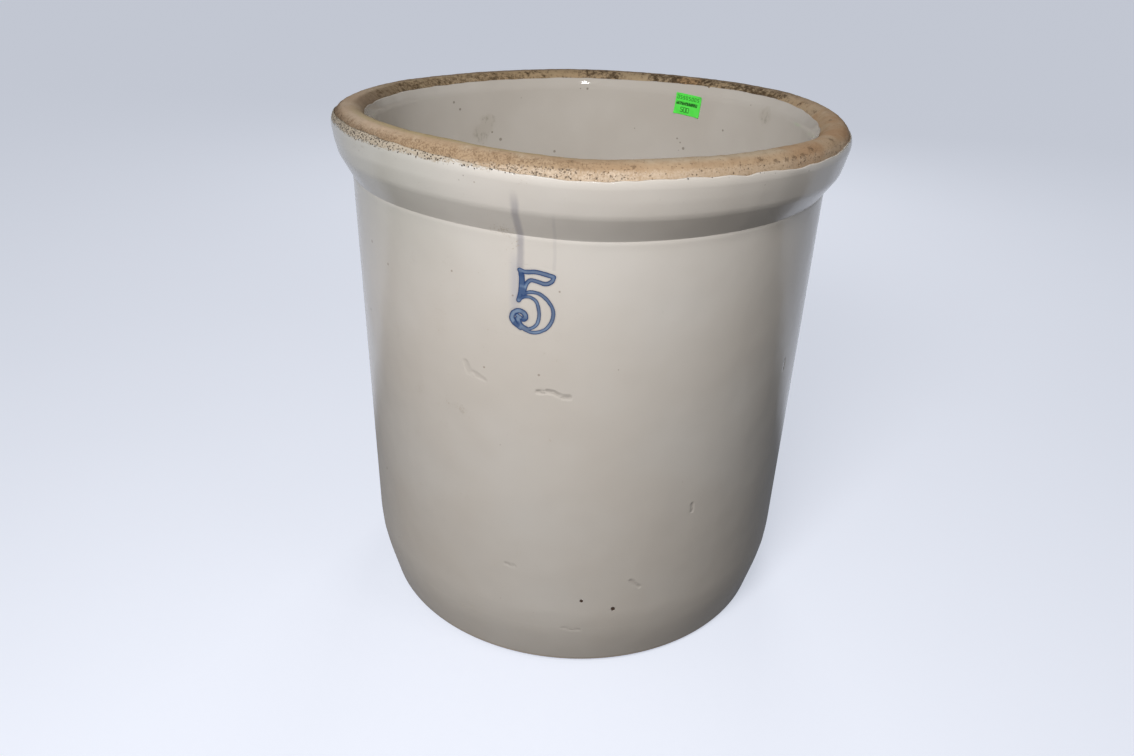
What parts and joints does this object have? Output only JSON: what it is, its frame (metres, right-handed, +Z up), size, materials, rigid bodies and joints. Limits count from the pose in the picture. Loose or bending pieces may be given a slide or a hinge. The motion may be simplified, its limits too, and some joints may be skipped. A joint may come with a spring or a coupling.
{
  "type": "stoneware crock",
  "caption": "Open straight-sided stoneware storage crock with a rolled bare-clay lip over a collar, glazed inside and out, and flat on its foot.",
  "frame": {"origin": "centre of the foot, on the surface that the crock stands on", "axes": "+Z up along the crock's axis; -Y is the front, where the capacity number is; +X is to the right of someone facing the front"},
  "size_m": [0.3294, 0.3294, 0.3465],
  "materials": {
    "bare_clay": "matt fired clay, stained at the lip",
    "outside_glaze": "glossy off-white glaze with iron specks and a blue capacity number",
    "inside_glaze": "glossy greyish off-white glaze",
    "label_paper": "fluorescent green paper"
  },
  "bodies": {
    "root": {"stoneware_body": "bare_clay", "outer_glaze": "outside_glaze", "inner_glaze": "inside_glaze", "paper_label": "label_paper"}
  },
  "joints": []
}
